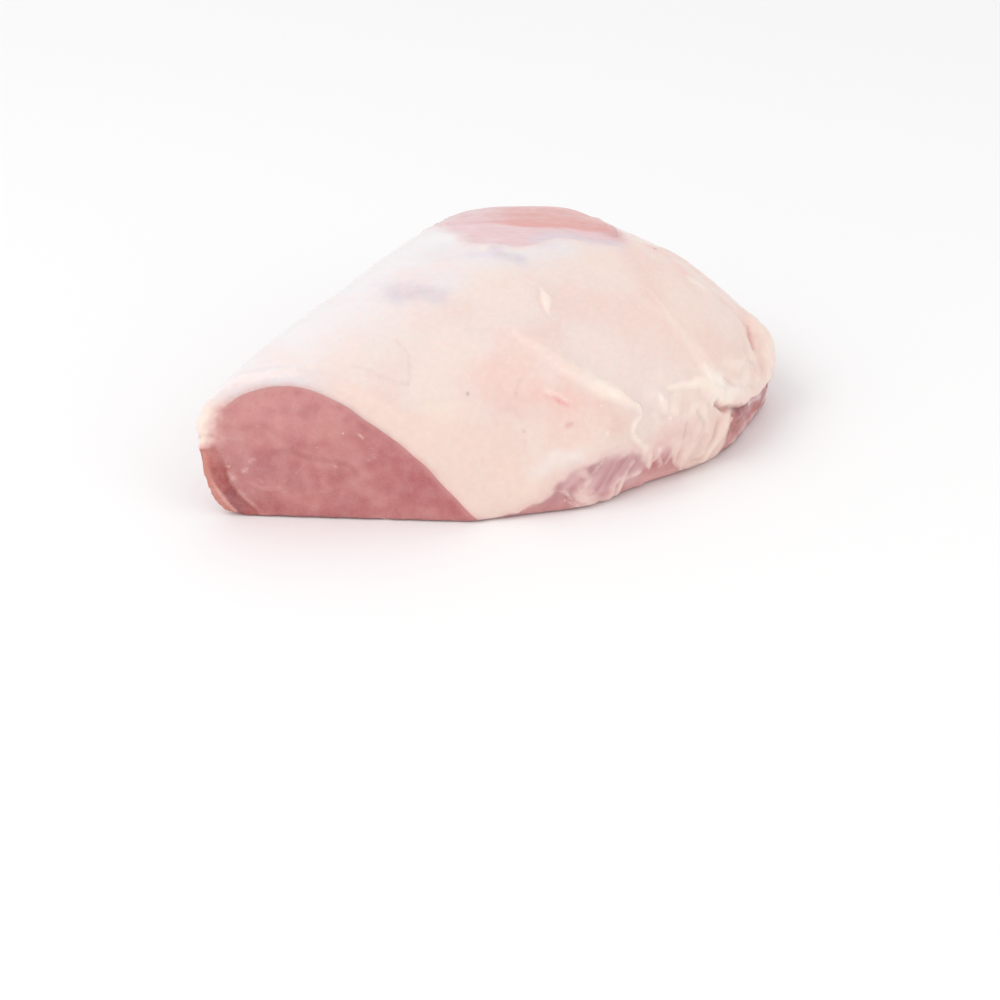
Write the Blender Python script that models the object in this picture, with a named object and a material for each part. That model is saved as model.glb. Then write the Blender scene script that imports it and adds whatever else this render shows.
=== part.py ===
"""A boneless raw pork loin roast: a long muscle under a cap of back fat, cut on the bias at its near end.

The loin lies along X with the bias cut at -X, the chine (backbone) side at +Y and the belly side at -Y.
It rests on Z = 0, and the origin is under the middle of its box. It is one solid: a loft of unlike rings
along the loin, closed by the flat cut at one end and a low dome at the other. The edges of its fat, the
seam between its muscles, and the folds, lumps and strands on it are relief on that loft.
"""

import math

import bmesh
import bpy
import numpy as np
from mathutils import Vector, noise

MM = 0.001

# The loin's length on its spine, from the middle of the bias cut to the far end's rim, and that end's dome.
SPINE = 181 * MM
FAR_DOME = 19 * MM

# Sizes along the loin, as (share of the spine, size). Half-widths run from the spine to each side.
CHINE_HALF_WIDTH = ((0, 50 * MM), (0.30, 58 * MM), (0.48, 61 * MM), (0.64, 65.4 * MM), (1, 52 * MM))
BELLY_HALF_WIDTH = ((0, 36 * MM), (0.20, 66 * MM), (0.45, 71 * MM), (0.75, 79 * MM), (1, 66 * MM))
HEIGHT = ((0, 61 * MM), (0.30, 75 * MM), (0.60, 81 * MM), (0.82, 74 * MM), (1, 55 * MM))
# The heights at which each side stands out furthest, and how far the crest lies from the spine.
CHINE_BULGE = ((0, 30 * MM), (1, 36 * MM))
BELLY_BULGE = ((0, 6 * MM), (0.30, 20 * MM), (1, 21 * MM))
CREST_OFFSET = ((0, 16 * MM), (0.5, 22 * MM), (1, 9 * MM))
# How full each shoulder is: 1 is a straight slope, 2 an ellipse, and more is squarer.
# The bare back muscle squares the chine shoulder from the middle of the loin on.
CHINE_FULLNESS = (
    (0, 2.6),
    (0.10, 2.9),
    (0.33, 2.4),
    (0.42, 2.9),
    (0.49, 2.8),
    (0.61, 4.2),
    (0.80, 3.0),
    (1, 2.5),
)
BELLY_FULLNESS = ((0, 1.25), (0.35, 2.05), (1, 1.85))
# How full each side is below where it stands out furthest.
CHINE_UNDER_FULLNESS = 2.4
BELLY_UNDER_FULLNESS = ((0, 2.4), (0.60, 2.4), (0.85, 4.5), (1, 4.5))
# The dome's slope where it leaves the rim, so that it carries on the loin's own taper.
DOME_START = math.radians(30)
# The flat that the loin rests on, as a share of each half-width.
CHINE_FOOT = 0.76
BELLY_FOOT = ((0, 0.93), (0.60, 0.93), (0.85, 0.975), (1, 0.975))
# How far each ring leans towards -X for each metre towards the chine: the cut's bias, fading along it.
BIAS = ((0, -0.70), (0.30, -0.28), (0.70, 0.13), (1, 0.05))
CUT_FACING = np.array((-1, BIAS[0][1], 0)) / math.hypot(1, BIAS[0][1])

# The grid: rings along the loin, and columns on each stretch of a ring, from the spine's foot by the chine.
BODY_RINGS = 46
DOME_RINGS = 7
LEAN_RINGS = 10
STRETCHES = (
    ("chine foot", 6),
    ("chine side", 6),
    ("chine shoulder", 20),
    ("belly shoulder", 30),
    ("belly side", 6),
    ("belly foot", 7),
)
SMOOTHING_PASSES = 6

# The band of fat round the cut, as (stretch of the ring, width), with the stretches counted as above: 3 is
# the crest and 4 the belly side. Its narrowest width is bare lean.
BAND_WIDTH = (
    (0, 1.5 * MM),
    (1.8, 1.5 * MM),
    (2.5, 6 * MM),
    (3, 7 * MM),
    (3.4, 4 * MM),
    (4.1, 3.5 * MM),
    (4.4, 1.5 * MM),
    (6, 1.5 * MM),
)
# The band in profile, as (share of its width, height over the cut): it stands proud, with the lean sunk.
BAND_PROFILE = ((0.3, 0.7 * MM), (0.75, 0.9 * MM), (1.15, -0.5 * MM))

# Relief, as paths of (x, y, z) millimetres near the surface, with X and Y from the middle of the spine.
# The seam on the cut between the eye of the loin and the small muscle at its chine side.
SEAM_PATH = ((-123, 45, 33), (-120, 43, 26), (-117, 39, 15), (-113, 33, 0))
SEAM_HALF_WIDTH = 5 * MM
SEAM_DEPTH = 1.6 * MM
# The roll of fat that hangs over that small muscle.
ROLL_PATH = ((-123, 45, 46), (-125, 48, 39), (-126, 49, 33))
ROLL_HALF_WIDTH = 7 * MM
ROLL_HEIGHT = 2 * MM
# The strand of fat that runs down the belly side, and the blister beside it.
STRAND_PATH = (
    (-30, -22, 69),
    (-28, -36, 62),
    (-25, -50, 52),
    (-19, -59, 45),
    (-11, -65, 39),
    (-4, -71, 20),
)
STRAND_HALF_WIDTH = 5 * MM
STRAND_HEIGHT = 1.6 * MM
BLISTER_PATH = ((-7, -21, 73), (-15, -31, 68))
BLISTER_HALF_WIDTH = 4.5 * MM
BLISTER_HEIGHT = 1.4 * MM
# The fold of fat at the far end's belly corner, and the crease behind it.
FOLD_PATH = ((87, -59, 36), (85, -69, 24))
FOLD_HALF_WIDTH = 15 * MM
FOLD_HEIGHT = 3 * MM
CREASE_PATH = ((84, -53, 41), (77, -62, 37), (66, -69, 33))
CREASE_HALF_WIDTH = 5 * MM
CREASE_DEPTH = 2 * MM
# Broad hollows and swells, as (path, half width, height): the shoulder over the back muscle slumps, the far
# end's rim is rounded, and a notch marks the end of the back muscle, with a swell on each side of it.
SWELLS = (
    (((27, 54, 75), (36, 51, 76), (47, 44, 75), (51, 43, 74)), 26 * MM, -3 * MM),
    (((93, -28, 47), (94, -39, 43), (93, -45, 40), (89, -56, 40)), 16 * MM, -2.6 * MM),
    (((75, 3, 65), (79, -1, 61)), 10 * MM, -2 * MM),
    (((75, -22, 60), (71, -19, 62)), 10 * MM, 1 * MM),
    (((68, 22, 69), (70, 17, 69)), 9 * MM, 1 * MM),
)

# The ragged hem of the fat on the belly side, as (x, height) in millimetres: the lean shows under it.
HEM = (
    (-60, 0),
    (-44, 8),
    (-32, 17),
    (-18, 20),
    (-7, 17),
    (3, 7),
    (12, 13),
    (27, 3),
    (50, 11),
    (76, 8),
    (88, 14),
)
# The edge of the fat on top, as (x, y) in millimetres: from it to the chine side the muscle is bare.
BARE_EDGE = ((1, 30), (5, 10), (13, 1), (25, -4), (37, -10), (54, -15), (90, -22))
# How far above the surface that the loin rests on its relief reaches full height.
FOOT_FADE = 4 * MM
FAT_STEP = 1.2 * MM
FAT_STEP_HALF_WIDTH = 3 * MM
# Soft unevenness all over, a thumb's breadth across, and deeper in the loose fat towards the far hem.
LUMP_SIZE = 24 * MM
LUMP_HEIGHT = 0.7 * MM
LOOSE_FAT_PATH = ((16, -75, 28), (50, -77, 22), (80, -71, 18))
LOOSE_FAT_HALF_WIDTH = 26 * MM
LOOSE_LUMP_SIZE = 11 * MM
LOOSE_LUMP_HEIGHT = 2.4 * MM


def along(share, keys):
    """The value at share, on a smooth curve with no overshoot through (share, value) keys."""
    at, value = (np.array(column, float) for column in zip(*keys))
    step = np.diff(at)
    slope = np.diff(value) / step
    tangent = np.concatenate([slope[:1], np.zeros(len(slope) - 1), slope[-1:]])
    for i in range(1, len(slope)):
        if slope[i - 1] * slope[i] > 0:
            before = 2 * step[i] + step[i - 1]
            after = step[i] + 2 * step[i - 1]
            tangent[i] = (before + after) / (before / slope[i - 1] + after / slope[i])
    i = int(np.clip(np.searchsorted(at, share, side="right") - 1, 0, len(slope) - 1))
    t = (share - at[i]) / step[i]
    return (
        (2 * t**3 - 3 * t**2 + 1) * value[i]
        + (t**3 - 2 * t**2 + t) * step[i] * tangent[i]
        + (3 * t**2 - 2 * t**3) * value[i + 1]
        + (t**3 - t**2) * step[i] * tangent[i + 1]
    )


def smooth_step(low, high, value):
    t = min(max((value - low) / (high - low), 0), 1)
    return t * t * (3 - 2 * t)


def quarter(width, height, fullness, count):
    """count + 1 even points on a quarter of a superellipse, from (width, 0) up to (0, height)."""
    angle = np.linspace(0, math.pi / 2, 200)
    across = width * np.cos(angle) ** (2 / fullness)
    up = height * np.sin(angle) ** (2 / fullness)
    length = np.concatenate([[0], np.cumsum(np.hypot(np.diff(across), np.diff(up)))])
    wanted = np.linspace(0, length[-1], count + 1)
    return np.stack([np.interp(wanted, length, across), np.interp(wanted, length, up)], 1)


def outline(share):
    """The (y, z) outline of one ring, from the spine's foot by the chine, over the crest and back."""
    chine = along(share, CHINE_HALF_WIDTH)
    belly = along(share, BELLY_HALF_WIDTH)
    height = along(share, HEIGHT)
    chine_bulge = along(share, CHINE_BULGE)
    belly_bulge = along(share, BELLY_BULGE)
    crest = along(share, CREST_OFFSET)
    chine_foot = CHINE_FOOT * chine
    belly_foot = along(share, BELLY_FOOT) * belly
    count = dict(STRETCHES)
    out = np.linspace((0, 0), (chine_foot, 0), count["chine foot"] + 1)
    side = quarter(chine - chine_foot, chine_bulge, CHINE_UNDER_FULLNESS, count["chine side"])[::-1]
    up_chine = np.stack([chine_foot + side[:, 0], chine_bulge - side[:, 1]], 1)
    fullness = along(share, CHINE_FULLNESS)
    side = quarter(chine - crest, height - chine_bulge, fullness, count["chine shoulder"])
    over_chine = np.stack([crest + side[:, 0], chine_bulge + side[:, 1]], 1)
    fullness = along(share, BELLY_FULLNESS)
    side = quarter(belly + crest, height - belly_bulge, fullness, count["belly shoulder"])[::-1]
    over_belly = np.stack([crest - side[:, 0], belly_bulge + side[:, 1]], 1)
    fullness = along(share, BELLY_UNDER_FULLNESS)
    side = quarter(belly - belly_foot, belly_bulge, fullness, count["belly side"])
    down_belly = np.stack([-belly_foot - side[:, 0], belly_bulge - side[:, 1]], 1)
    back = np.linspace((-belly_foot, 0), (0, 0), count["belly foot"] + 1)
    parts = (out, up_chine, over_chine, over_belly, down_belly, back)
    return np.concatenate([part[:-1] for part in parts])


def body_rings():
    """The loft's rings from the cut to the far end's rim, evened with both end rings kept."""
    rings = []
    for share in np.linspace(0, 1, BODY_RINGS + 1):
        ring = outline(share)
        x = SPINE * (share - 0.5) + along(share, BIAS) * ring[:, 0]
        rings.append(np.column_stack([x, ring]))
    rings = np.array(rings)
    for _ in range(SMOOTHING_PASSES):
        rings[1:-1] = (rings[:-2] + 2 * rings[1:-1] + rings[2:]) / 4
    return rings


def middle_of(rim):
    return np.array((rim[:, 0].mean(), rim[:, 1].mean(), rim[:, 2].max() * 0.45))


def cut_rings(rim):
    """Rings that fill the cut from its rim inwards, over the proud band of fat and across the sunk lean."""
    middle = middle_of(rim)
    inward = middle - rim
    reach = np.linalg.norm(inward, axis=1)
    counts = [count for _, count in STRETCHES]
    stretch = np.concatenate([i + np.arange(count) / count for i, count in enumerate(counts)])
    width = np.array([along(s, BAND_WIDTH) for s in stretch])
    fatness = np.clip((width - width.min()) / (width.max() - width.min()) * 2, 0, 1)
    rings = []
    for across, standing in BAND_PROFILE:
        height = np.where(standing > 0, fatness, 1) * standing
        inset = inward * (across * width / reach)[:, None]
        rings.append(rim + inset + CUT_FACING * height[:, None])
    edge = rings[-1]
    middle += CUT_FACING * BAND_PROFILE[-1][1]
    for step in range(1, LEAN_RINGS):
        rings.append(edge + (middle - edge) * (step / LEAN_RINGS))
    rings = np.array(rings)
    for point in rings.reshape(-1, 3):
        point -= CUT_FACING * SEAM_DEPTH * nearness(Vector(point), SEAM_PATH, SEAM_HALF_WIDTH)
    return rings, middle


def dome_rings(rim):
    """Rings that close the far end, from its rim inwards, as an oval dome."""
    middle = middle_of(rim)
    rings = []
    for step in range(1, DOME_RINGS):
        turn = DOME_START + (math.pi / 2 - DOME_START) * step / DOME_RINGS
        ring = middle + (rim - middle) * math.cos(turn) / math.cos(DOME_START)
        ring[:, 0] += FAR_DOME * (math.sin(turn) - math.sin(DOME_START)) / (1 - math.sin(DOME_START))
        rings.append(ring)
    return np.array(rings), middle + (FAR_DOME, 0, 0)


def nearness(point, path, half_width):
    """1 on a path, falling smoothly to 0 at half_width from it."""
    points = [Vector(p) * MM for p in path]
    distances = []
    for start, end in zip(points, points[1:]):
        run = end - start
        share = min(max((point - start).dot(run) / run.length_squared, 0), 1)
        distances.append((point - start - run * share).length)
    return 1 - smooth_step(0, half_width, min(distances))


def lumps(point, size):
    """Soft unevenness from -1 to 1, the same on every run."""
    return noise.noise(point / size)


def fat_step(point):
    """Half the fat's step up where fat covers the lean, half a step down where the lean is bare."""
    x, y, z = point / MM
    half_width = FAT_STEP_HALF_WIDTH / MM
    belly_hem = along(min(max(x, HEM[0][0]), HEM[-1][0]), HEM)
    under_hem = smooth_step(-half_width, half_width, belly_hem - z) * (y < 0)
    top_edge = along(min(max(x, BARE_EDGE[0][0]), BARE_EDGE[-1][0]), BARE_EDGE)
    beyond_edge = smooth_step(-half_width, half_width, y - top_edge)
    beyond_start = smooth_step(-half_width, half_width, x - BARE_EDGE[0][0])
    return FAT_STEP * (0.5 - max(under_hem, beyond_edge * beyond_start))


def relief(point):
    """How far the skin at a point stands out from the loft."""
    loose_fat = nearness(point, LOOSE_FAT_PATH, LOOSE_FAT_HALF_WIDTH)
    return (
        ROLL_HEIGHT * nearness(point, ROLL_PATH, ROLL_HALF_WIDTH)
        + STRAND_HEIGHT * nearness(point, STRAND_PATH, STRAND_HALF_WIDTH)
        + BLISTER_HEIGHT * nearness(point, BLISTER_PATH, BLISTER_HALF_WIDTH)
        + FOLD_HEIGHT * nearness(point, FOLD_PATH, FOLD_HALF_WIDTH)
        - CREASE_DEPTH * nearness(point, CREASE_PATH, CREASE_HALF_WIDTH)
        + LOOSE_LUMP_HEIGHT * lumps(point, LOOSE_LUMP_SIZE) * loose_fat
        + LUMP_HEIGHT * lumps(point, LUMP_SIZE)
        + fat_step(point)
        + sum(height * nearness(point, path, half_width) for path, half_width, height in SWELLS)
    )


def make_material(name, colour, roughness):
    material = bpy.data.materials.new(name)
    material.use_nodes = True
    shader = material.node_tree.nodes["Principled BSDF"]
    shader.inputs["Base Color"].default_value = (*colour, 1)
    shader.inputs["Roughness"].default_value = roughness
    shader.inputs["Metallic"].default_value = 0
    return material


def make_loin():
    """The loin's object: the loft with its ends closed and its relief, centred on its box."""
    body = body_rings()
    cut, cut_middle = cut_rings(body[0])
    far, far_middle = dome_rings(body[-1])
    rings = np.concatenate([cut[::-1], body, far])
    mesh = bmesh.new()
    grid = [[mesh.verts.new(point) for point in ring] for ring in rings]
    for near, beyond in zip(grid, grid[1:]):
        for i in range(len(near)):
            j = (i + 1) % len(near)
            mesh.faces.new((near[i], near[j], beyond[j], beyond[i]))
    for ring, middle in ((grid[0][::-1], cut_middle), (grid[-1], far_middle)):
        tip = mesh.verts.new(middle)
        for i in range(len(ring)):
            mesh.faces.new((ring[i], ring[(i + 1) % len(ring)], tip))
    mesh.normal_update()
    skin = [vert for ring in grid[len(cut) :] for vert in ring]
    moves = [vert.normal * relief(vert.co) * smooth_step(0, FOOT_FADE, vert.co.z) for vert in skin]
    for vert, move in zip(skin, moves):
        vert.co += move
    places = np.array([vert.co for vert in mesh.verts])
    middle = (places.min(0) + places.max(0)) / 2
    bmesh.ops.translate(mesh, verts=mesh.verts, vec=(-middle[0], -middle[1], 0))
    data = bpy.data.meshes.new("pork_loin")
    mesh.to_mesh(data)
    mesh.free()
    data.shade_smooth()
    return bpy.data.objects.new("pork_loin", data)


for old in list(bpy.data.objects):
    bpy.data.objects.remove(old)
parts = bpy.data.collections.new("raw_pork_loin")
bpy.context.scene.collection.children.link(parts)
loin = make_loin()
loin.data.materials.append(make_material("pork", (0.86, 0.68, 0.62), 0.4))
parts.objects.link(loin)
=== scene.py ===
"""The looks of a raw pork loin: a moist cap of back fat over pale lean meat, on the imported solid's own form.

The piece is the solid's mesh, remeshed finely and smoothed. For each of its points the script works out how
deep it lies in lean or in fat, and how near it is to the seams, strands, creases and membranes. These drive
both the fine relief and the colours. Every place below is in millimetres in the object's frame: X runs along
the loin from the bias cut, +Y is its chine (backbone) side, and Z is up.
"""

import math

import bmesh
import bpy
import numpy as np
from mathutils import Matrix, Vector, noise


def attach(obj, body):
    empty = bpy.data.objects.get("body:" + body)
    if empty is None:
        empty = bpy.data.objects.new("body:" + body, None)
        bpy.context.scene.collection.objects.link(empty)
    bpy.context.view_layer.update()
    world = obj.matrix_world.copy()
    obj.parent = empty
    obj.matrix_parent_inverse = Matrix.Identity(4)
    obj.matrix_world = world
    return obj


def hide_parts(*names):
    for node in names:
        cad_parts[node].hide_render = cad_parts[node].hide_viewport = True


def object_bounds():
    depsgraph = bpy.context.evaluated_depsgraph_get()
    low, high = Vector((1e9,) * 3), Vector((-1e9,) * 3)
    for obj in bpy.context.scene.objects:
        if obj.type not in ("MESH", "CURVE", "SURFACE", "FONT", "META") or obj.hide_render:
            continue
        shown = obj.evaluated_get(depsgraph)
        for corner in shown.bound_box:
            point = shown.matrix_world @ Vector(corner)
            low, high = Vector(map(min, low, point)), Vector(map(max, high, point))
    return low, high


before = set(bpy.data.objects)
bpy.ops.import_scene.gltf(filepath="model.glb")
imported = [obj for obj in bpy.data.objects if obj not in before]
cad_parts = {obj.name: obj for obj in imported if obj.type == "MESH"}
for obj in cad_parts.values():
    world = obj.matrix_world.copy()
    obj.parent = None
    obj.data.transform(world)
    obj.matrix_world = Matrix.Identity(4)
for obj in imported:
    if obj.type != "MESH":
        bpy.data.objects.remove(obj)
cad_low, cad_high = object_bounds()

MM = 0.001
# A distance beyond all reach.
FAR = 1000.0
# The fine mesh's grid, and how often it is smoothed: all over, then at the rims, whose own field is blurred.
VOXEL = 1.06 * MM
SMOOTHING_PASSES = 18
RIM_PASSES = 60
RIM_BLUR_PASSES = 8
# The share of the run along the grain that is taken out of fibres' noise, which draws it out.
DRAWN_OUT = 0.88
# How much less deep in lean a point counts, off the face that this lean's outline is drawn on.
OFF_FACE = 40
# How far the edge of the fat stands over bare lean.
FAT_STEP = 0.5

# The bias cut: a plane through (CUT_X, 0, z) that runs on towards -X by CUT_SLOPE for each millimetre of Y.
CUT_X = -75.8
CUT_SLOPE = 0.70
CUT_STRETCH = math.hypot(1, CUT_SLOPE)
CUT_FACING = np.array((-1, -CUT_SLOPE, 0)) / CUT_STRETCH
# The way the bare muscles' fibres run: along the loin on its sides, and askew on its top and belly side.
SIDE_GRAIN = np.array((1.0, 0, 0))
BELLY_GRAIN = np.array((0.56, -0.22, 0.80))
TOP_GRAIN = np.array((0.63, -0.78, 0))

# The outline of the lean on the cut, as (y, z).
CUT_LEAN = (
    (-32, -6), (-28, 2.4), (-23.2, 9.2), (-17.3, 17.3), (-13.4, 23.4), (-8.9, 28.7), (-4.4, 33.9), (0.8, 39),
    (5.9, 43.6), (9.8, 47.9), (14.9, 51.5), (20.1, 54.4), (24.8, 56.2), (30, 56.6), (36.6, 55.4), (42.1, 53),
    (46.5, 49.7), (50.2, 45.4), (51.6, 41.6), (52.6, 38), (53.4, 33.6), (54.6, 30.4), (57.5, 29), (74, 28.4),
    (74, -6),
)
# Where the fat at the cut's chine corner runs into the lean in streaks.
LIP_EDGE = ((-110, 51.4, 44), (-110.6, 52.4, 37), (-112, 54, 31))
# The seam on the cut between the eye of the loin and its small side muscle, and how far the flecks and the
# haze in the lean reach from it.
SEAM = (
    (-113, 55.6, 32), (-111.2, 53.2, 27.5), (-109.8, 51.2, 23.5), (-109.3, 50, 18.8), (-108.8, 49.2, 14.6),
    (-107.2, 46.9, 9.5), (-105.4, 43.9, 5.5), (-103, 40.8, 1.5), (-102, 39, -2),
)
SEAM_REACH = 8
# The side muscle's outer seam.
SIDE_SEAM = (
    (-115.6, 56, 27), (-115, 55, 20), (-114, 54, 15.6), (-112, 52.2, 11), (-110, 49.6, 5.8),
    (-108.4, 47.4, 2),
)

# The loin's long axis, round which its chine side is unrolled as (x, degrees up from +Y), beginning at
# UNROLL_FROM degrees.
AXIS_Y = 10
AXIS_Z = 25
MM_PER_DEGREE = 0.95
UNROLL_FROM = -110
# The bare lean of the chine side, up to the ragged edge of the fat, and the redder muscle on top within it.
CHINE_LEAN = (
    (-135, -110), (-135, 4), (-116, 4), (-104, 10), (-92, 15), (-78, 21), (-64, 17), (-50, 20), (-38, 28),
    (-26, 27), (-14, 24), (0, 30), (13, 38), (20, 47), (14.4, 58.1), (13, 64.5), (8.2, 70.9), (8.8, 76),
    (12.7, 82), (15, 87), (18.1, 90.5), (23, 93.4), (30.7, 93.6), (38, 96), (42.5, 103), (47.9, 109.5),
    (56.4, 114), (63.6, 110.5), (70, 102), (75.5, 89), (82, 74), (90, 58), (104, 42), (135, 34), (135, -110),
)
RED_MUSCLE = (
    (16, 44), (22, 54), (25.5, 61.6), (29, 68), (32.6, 75.2), (36.4, 80.5), (43, 86), (49, 90.5), (53, 96),
    (60.1, 101), (65, 104), (70, 100), (78, 86), (86, 68), (94, 50), (90, 34), (60, 26), (30, 24),
)
# The ragged hem of the fat on the belly side, as (x, height).
HEM = (
    (-140, 1), (-51, 1), (-41, 3), (-35.3, 7), (-31.6, 11.4), (-26.8, 16.7), (-23.3, 19.6), (-16.9, 20.6),
    (-9, 20.6), (-2, 19), (3.2, 15.5), (6, 11), (8, 10), (9.8, 15.4), (12.7, 18), (16, 16), (19, 10),
    (23, 4), (33, 0), (42, 1), (48, 5), (51.4, 12), (50.6, 19.6), (55, 20), (63, 18.4), (72, 16.4),
    (81, 15), (92, 13.6), (104, 14), (140, 14),
)
# The lean within the far end's face, as (y, z).
FAR_LEAN = (
    (-47, -6), (-48, 8), (-45, 18), (-38, 27), (-27, 36), (-14, 42), (2, 46), (18, 47), (34, 45), (46, 40),
    (54, 32), (66, 26), (66, -6),
)

# Raised strands and rolls of fat: path, then half widths, heights and shares of paler colour along it.
ROLLS = (
    # The strand that winds down the belly side, the brighter ribbon on it, and the blister above it.
    (((-22.6, -20.8, 66.9), (-21.7, -28.1, 63.3), (-19.4, -36, 59), (-16.6, -42, 55.1), (-12.6, -47.6, 50.7),
      (-9.7, -51.6, 47.4), (-5.2, -55.5, 44), (-2, -58.9, 40.4), (2.6, -60.8, 36.2)),
     (1.5, 2.8, 3.8, 4.6, 5.4, 5.6, 5.0, 3.6, 1.8), (0.2, 0.4, 0.6, 0.75, 0.8), (0.1, 0.3, 0.45, 0.65, 0.6)),
    (((2.2, -60.2, 37), (2.8, -61.4, 34.6), (2, -62.1, 33.2), (-0.9, -62.1, 31.4), (-1.4, -62.1, 27),
      (1.6, -64, 22.8), (3.4, -64.1, 18.9), (3, -63, 13)),
     (2.0, 1.8, 1.7, 1.7, 1.7, 1.8, 1.9, 1.9), (0.8, 0.9), (0.9, 0.7)),
    (((-11.5, -48.5, 50), (-8.6, -51.8, 47.5), (-3.6, -56.5, 43.2), (1, -60, 38.6)),
     (0.8, 2.0, 2.6, 1.0), (0.2, 0.5, 0.3), (0.4, 1.0, 0.6)),
    (((0.4, -13.4, 73.7), (-1.6, -18.6, 71.6), (-5.2, -22.4, 69.9), (-7, -25.5, 68)),
     (1.3, 2.6, 2.0, 0.8), (0.5, 0.7, 0.3), (0.5, 0.8, 0.3)),
    (((42, -35, 65.8), (40.1, -43.4, 61.2), (38.6, -51.5, 55.4), (39.6, -58.7, 48.6), (42.1, -64.8, 41.8)),
     (1.5, 2.5, 3.5, 5.0, 5.5), (0.2, 0.3), (0.1, 0.35)),
    # The lip of fat at the cut's chine corner.
    (((-113, 53, 49), (-115.2, 55.4, 43), (-116.8, 57.4, 39), (-117.4, 58.4, 35.6)),
     (2.5, 3.4, 3.8, 3.0), (0.4, 1.1, 1.5), (0.1, 0.7, 0.9)),
    # The far end's knob, the fold over its under-lip, and the bright lumps above them.
    (((90, -46, 45), (93.4, -51, 39.5), (93.4, -56.4, 33), (91.8, -60.6, 25.5), (85, -64, 20.5)),
     (3.0, 5.0, 6.5, 6.0, 4.0), (0.8, 1.3, 0.8), (0.2, 0.5)),
    (((34, -68.9, 33.5), (44.8, -70.1, 28.4), (54.3, -71.3, 23), (66, -69, 20.2), (78, -65.6, 18.2),
      (90, -61, 17.4)), (2.6, 4.2, 4.4, 4.0, 3.6, 3.0), (0.8, 1.4, 1.2), (0.5, 0.3)),
    (((19.6, -63.4, 39.6), (27.8, -65.7, 38.4), (34.6, -67.9, 36.9), (40, -68.9, 34)),
     (1.6, 3.0, 3.4, 2.4), (0.7, 0.9), (0.7, 0.9)),
    (((41.4, -64.4, 43), (40.6, -67, 39), (41.9, -69, 33.4), (46, -69.8, 29)),
     (1.2, 2.2, 2.8, 2.6), (0.5, 0.8), (0.6, 0.9)),
    (((52, -66, 38.6), (60, -67, 34.8), (69, -64.8, 34)), (2.2, 3.6, 2.6), (0.6, 0.8), (0.5, 0.5)),
    (((13, -63, 38.6), (14.4, -64.6, 35.2), (14, -66, 31.6)), (1.4, 2.0, 1.2), (0.5, 0.4), (0.7, 0.5)),
    # The lumps of loose fat between the under-lip and the foot of the strand.
    (((47, -71, 20), (45.4, -71.7, 16), (41, -71.2, 11.4), (33, -69.6, 6.4)),
     (2.6, 3.8, 4.2, 3.6), (1.0, 1.4), (0.2, 0.35)),
    (((35, -69.6, 27), (30, -69.8, 19), (25.5, -68.8, 12), (22, -66.6, 5)),
     (2.0, 2.6, 2.8, 2.6), (0.5, 1.0), (0.1, 0.2)),
    (((5.5, -64.4, 20), (6.6, -64.4, 14), (6.2, -62.8, 6), (5.6, -61, 1)),
     (1.6, 2.2, 2.6, 2.6), (0.5, 0.9), (0.2, 0.2)),
)
# Where the hem of the fat thins out softly, on the belly side, on top and under the far end's fold, as (path,
# half width, softness).
SOFT_HEMS = (
    (((-35, -45, 9), (-24, -54, 19), (-9, -60, 20), (4, -63, 16), (20, -67, 16)), 12, 0.9),
    (((12, 52, 76), (12, 42, 79), (7, 32, 80)), 16, 2.4),
    (((50, -71.4, 17), (51, -71, 12), (47, -70.6, 4)), 8, 2.0),
)
# Broad forms, as (path, half width, height): the crest beside the top muscles is flatter than the rest, the
# red one of them ends thick and round, and the side muscle bulges out of the cut.
FLAT_CREST = (((0, 46, 76), (20, 46, 79), (38, 38, 80)), 28, -1.2)
MUSCLE_END = (((59, -8, 72), (66, 2, 71.5)), 20, 1.8)
SIDE_BULGE = (((-112, 53, 22), (-111, 51.6, 14), (-109, 49, 8)), 7, 1.6)
# Where the fat is loose and crumpled, and how far that reaches.
LOOSE_FAT = ((16, -66, 30), (40, -69, 27), (62, -68, 26), (84, -61, 27))
LOOSE_REACH = 22
# Threads of fat over the bare lean at the belly side: path, half widths.
THREADS = (
    (((-24.4, -53.4, 20.6), (-22, -54.6, 16.4), (-20.8, -55, 12.7), (-22.4, -53.9, 9.6), (-21.4, -54.4, 6.2),
      (-18.8, -55.4, 2.6), (-17.5, -55, 0)), (0.8, 1.2, 1.5, 1.9, 2.8, 3.4, 3.4)),
    (((-16.5, -57.9, 20.5), (-18.6, -56.8, 17.4), (-20.9, -55, 14)), (0.4, 0.6, 0.4)),
    (((3.6, -61.8, 8.6), (-2.4, -60.8, 8.8), (-8.2, -59.4, 8.6), (-9.9, -58.2, 3.7), (-12, -57, 0)),
     (0.6, 1.2, 1.1, 1.7, 2.0)),
    (((-0.6, -61.4, 15), (-4.3, -60.4, 10.6), (-6.3, -59.2, 4.4), (-8, -58, 0)), (0.6, 1.0, 1.2, 1.6)),
    (((-27, -50.6, 5.5), (-23.5, -52.2, 2.2), (-21, -53, 0)), (0.5, 1.2, 1.4)),
    (((-30, -48.4, 9.8), (-27.6, -50.4, 8.6), (-25.4, -51.8, 5.8)), (0.3, 0.6, 0.4)),
    (((16.8, -67.6, 14.6), (14, -66.4, 9), (15, -65, 3)), (0.5, 0.8, 1.0)),
    (((9.8, -65.4, 14), (11.4, -65.4, 9), (11, -64.2, 4)), (0.4, 0.8, 0.8)),
)
# The tints painted into creases, partly as shade.
VIOLET = (228, 219, 226)
ROSE = (222, 150, 146)
TAN = (206, 158, 140)
SHADE = (229, 205, 197)
# The deep crease under the far end's fold.
FOLD_CREASE = (
    (42, -70.4, 26.4), (44.6, -70.8, 23.8), (48.2, -71, 21.6), (53, -71.4, 20), (59.5, -71.2, 18),
    (72, -67.4, 16.2), (84, -63.2, 14.4), (92, -59.6, 13),
)
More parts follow.
